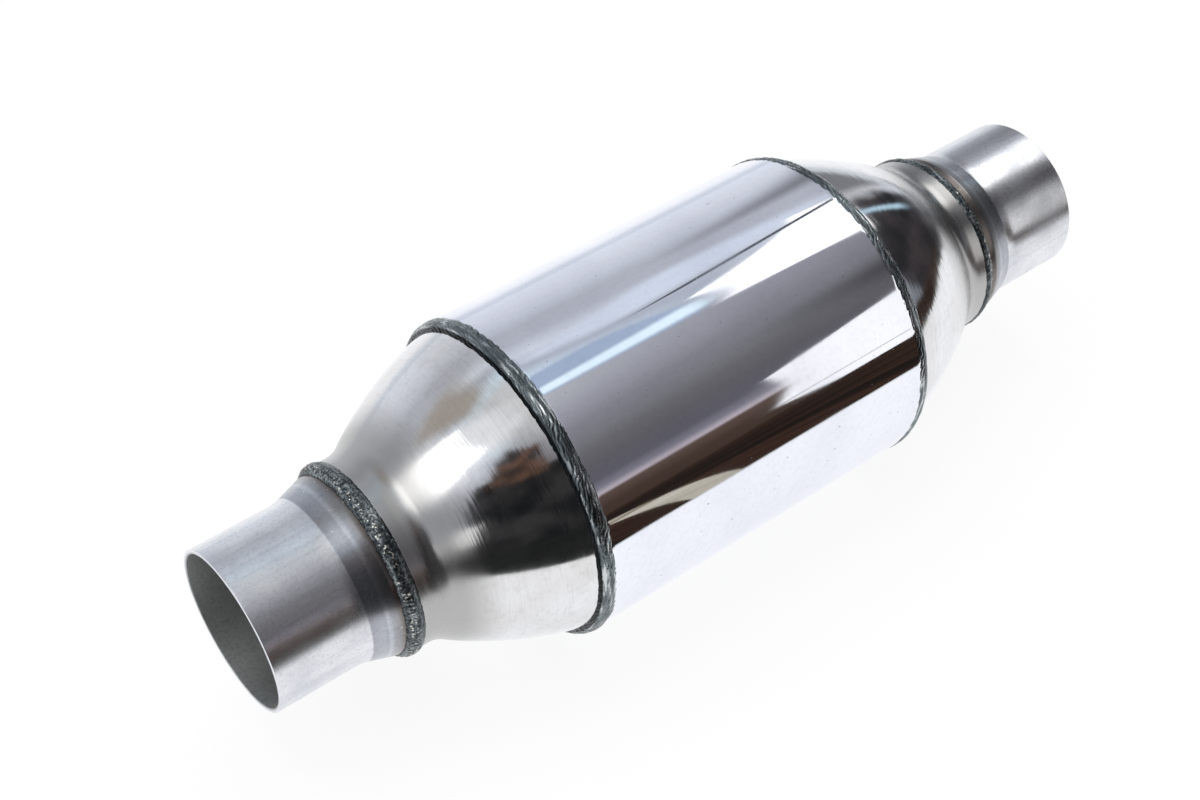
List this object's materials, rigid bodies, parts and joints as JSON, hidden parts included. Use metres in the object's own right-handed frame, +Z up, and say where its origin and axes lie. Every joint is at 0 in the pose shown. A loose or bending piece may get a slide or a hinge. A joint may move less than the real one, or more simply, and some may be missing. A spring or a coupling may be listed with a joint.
{
  "type": "catalytic converter",
  "caption": "Round exhaust catalytic converter: rolled shell with a spun cone and pipe stub welded at each end, and a wound foil matrix inside.",
  "frame": {"origin": "centre of the inlet pipe's mouth, on the flow axis", "axes": "+X along the flow axis from the inlet mouth to the outlet mouth, +Z up as fitted under a car, +Y to complete a right-handed frame"},
  "size_m": [0.33, 0.112, 0.112],
  "materials": {
    "polished_steel": "mirror-polished stainless sheet",
    "spun_steel": "spun and hoop-brushed stainless, half polished",
    "pipe_steel": "mill-finish stainless tube with fine scratches",
    "weld_steel": "dark brushed weld bead with ripples",
    "inner_steel": "plain mill-finish stainless",
    "coated_foil": "thin foil with a matt washcoat",
    "knitted_wire": "pressed knitted wire",
    "fibre_mat": "ceramic-fibre mat"
  },
  "bodies": {
    "root": {"shell": "polished_steel", "shell_seam_weld": "polished_steel", "inlet_pipe": "pipe_steel", "outlet_pipe": "pipe_steel", "inlet_cone": "spun_steel", "outlet_cone": "spun_steel", "inlet_pipe_weld": "weld_steel", "outlet_pipe_weld": "weld_steel", "inlet_cone_weld": "weld_steel", "outlet_cone_weld": "weld_steel", "support_mat": "fibre_mat", "matrix_mantle": "inner_steel", "flat_foil": "coated_foil", "wave_foil": "coated_foil", "inlet_mesh_ring": "knitted_wire", "outlet_mesh_ring": "knitted_wire", "inlet_stop_ring": "inner_steel", "outlet_stop_ring": "inner_steel", "inlet_ring_tacks": "weld_steel", "outlet_ring_tacks": "weld_steel"}
  },
  "joints": []
}
